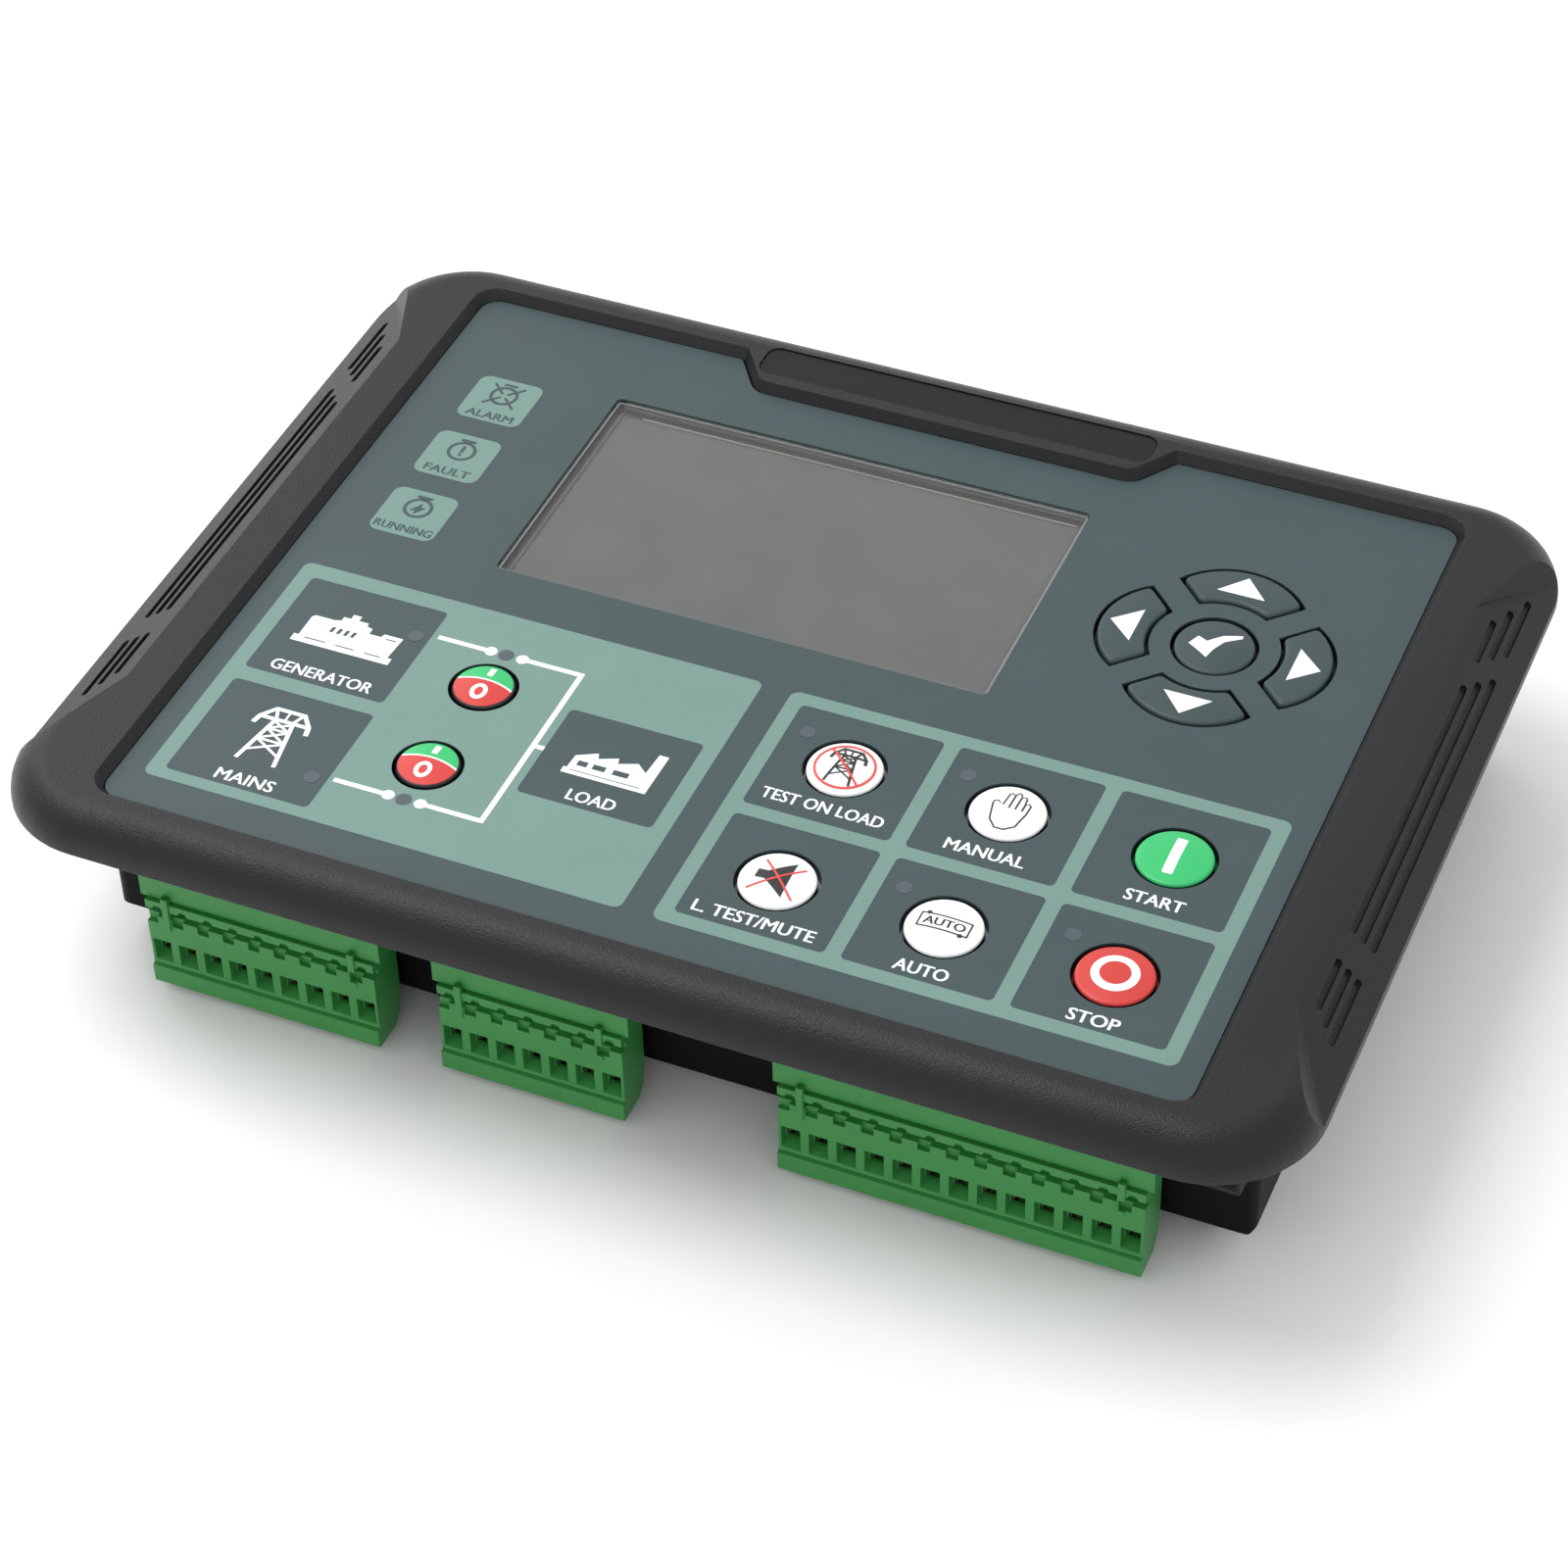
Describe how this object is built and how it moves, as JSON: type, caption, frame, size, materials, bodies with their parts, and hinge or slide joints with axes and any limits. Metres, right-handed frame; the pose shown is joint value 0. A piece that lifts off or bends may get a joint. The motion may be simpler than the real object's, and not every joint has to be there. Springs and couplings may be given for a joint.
{
  "type": "genset controller",
  "caption": "Panel-mounted generator controller: rolled charcoal bezel with a printed key face and display, deep rear housing and green pluggable screw terminals.",
  "frame": {"origin": "centre of the bounding box at its base, the plane of the rear face", "axes": "+X to the right along the face, +Y up the face, +Z out of the face; the part lies on its back"},
  "size_m": [0.239, 0.175, 0.05],
  "materials": {
    "bezel": "charcoal, fine moulded texture",
    "film": "slate printed film, satin",
    "bare_plate": "dark, satin, bare",
    "clear_pane": "clear acrylic",
    "display_frame": "black-brown sheet",
    "display_glass": "grey liquid crystal glass, switched off",
    "white_plastic": "white diffuser",
    "key_slate": "slate with a white mark",
    "key_white": "white with a printed mark",
    "key_green": "green with a white bar",
    "key_red": "red with a white ring",
    "key_split": "green upper half, red lower half",
    "silicone": "translucent silicone",
    "light_guide": "frosted clear",
    "lamp_resin": "water-clear resin",
    "board": "green solder mask",
    "steel": "zinc plated",
    "black_plastic": "black moulding",
    "can": "dark sleeve",
    "copper": "enamelled copper winding",
    "housing": "black, fine moulded texture",
    "foam": "closed-cell foam",
    "terminal_green": "green moulding",
    "tinned": "tinned brass"
  },
  "bodies": {
    "case": {"front_bezel": "bezel", "face_overlay": "film", "nameplate": "bare_plate", "display_window": "clear_pane", "lcd_frame": "display_frame", "lcd_panel": "display_glass", "lcd_backlight": "white_plastic", "keypad_mat": "silicone", "lamp_light_guides": "light_guide", "indicator_leds": "lamp_resin", "display_board": "board", "display_board_screws": "steel", "board_socket": "black_plastic", "board_plug": "black_plastic", "main_board": "board", "main_board_screws": "steel", "processor_chip": "black_plastic", "output_relays": "black_plastic", "supply_capacitors": "can", "supply_choke": "copper", "rear_housing": "housing", "panel_gasket": "foam", "housing_screws": "steel", "header_9way": "terminal_green", "header_7way": "terminal_green", "header_13way": "terminal_green", "header_pins": "tinned", "plug_9way": "terminal_green", "plug_7way": "terminal_green", "plug_13way": "terminal_green", "clamp_cages": "tinned", "clamp_screws": "steel"},
    "key_up": {"key_up": "key_slate"},
    "key_down": {"key_down": "key_slate"},
    "key_left": {"key_left": "key_slate"},
    "key_right": {"key_right": "key_slate"},
    "key_confirm": {"key_confirm": "key_slate"},
    "key_test": {"key_test": "key_white"},
    "key_manual": {"key_manual": "key_white"},
    "key_start": {"key_start": "key_green"},
    "key_mute": {"key_mute": "key_white"},
    "key_auto": {"key_auto": "key_white"},
    "key_stop": {"key_stop": "key_red"},
    "key_generator_breaker": {"key_generator_breaker": "key_split"},
    "key_mains_breaker": {"key_mains_breaker": "key_split"}
  },
  "joints": [
    {"name": "key_up_press", "type": "slide", "parent": "case", "child": "key_up", "axis": [0, 0, -1], "range_m": [0, 0.001], "stiffness_N_per_m": 1500, "deforming": ["keypad_mat"]},
    {"name": "key_down_press", "type": "slide", "parent": "case", "child": "key_down", "axis": [0, 0, -1], "range_m": [0, 0.001], "stiffness_N_per_m": 1500, "deforming": ["keypad_mat"]},
    {"name": "key_left_press", "type": "slide", "parent": "case", "child": "key_left", "axis": [0, 0, -1], "range_m": [0, 0.001], "stiffness_N_per_m": 1500, "deforming": ["keypad_mat"]},
    {"name": "key_right_press", "type": "slide", "parent": "case", "child": "key_right", "axis": [0, 0, -1], "range_m": [0, 0.001], "stiffness_N_per_m": 1500, "deforming": ["keypad_mat"]},
    {"name": "key_confirm_press", "type": "slide", "parent": "case", "child": "key_confirm", "axis": [0, 0, -1], "range_m": [0, 0.001], "stiffness_N_per_m": 1500, "deforming": ["keypad_mat"]},
    {"name": "key_test_press", "type": "slide", "parent": "case", "child": "key_test", "axis": [0, 0, -1], "range_m": [0, 0.001], "stiffness_N_per_m": 1500, "deforming": ["keypad_mat"]},
    {"name": "key_manual_press", "type": "slide", "parent": "case", "child": "key_manual", "axis": [0, 0, -1], "range_m": [0, 0.001], "stiffness_N_per_m": 1500, "deforming": ["keypad_mat"]},
    {"name": "key_start_press", "type": "slide", "parent": "case", "child": "key_start", "axis": [0, 0, -1], "range_m": [0, 0.001], "stiffness_N_per_m": 1500, "deforming": ["keypad_mat"]},
    {"name": "key_mute_press", "type": "slide", "parent": "case", "child": "key_mute", "axis": [0, 0, -1], "range_m": [0, 0.001], "stiffness_N_per_m": 1500, "deforming": ["keypad_mat"]},
    {"name": "key_auto_press", "type": "slide", "parent": "case", "child": "key_auto", "axis": [0, 0, -1], "range_m": [0, 0.001], "stiffness_N_per_m": 1500, "deforming": ["keypad_mat"]},
    {"name": "key_stop_press", "type": "slide", "parent": "case", "child": "key_stop", "axis": [0, 0, -1], "range_m": [0, 0.001], "stiffness_N_per_m": 1500, "deforming": ["keypad_mat"]},
    {"name": "key_generator_breaker_press", "type": "slide", "parent": "case", "child": "key_generator_breaker", "axis": [0, 0, -1], "range_m": [0, 0.001], "stiffness_N_per_m": 1500, "deforming": ["keypad_mat"]},
    {"name": "key_mains_breaker_press", "type": "slide", "parent": "case", "child": "key_mains_breaker", "axis": [0, 0, -1], "range_m": [0, 0.001], "stiffness_N_per_m": 1500, "deforming": ["keypad_mat"]}
  ]
}
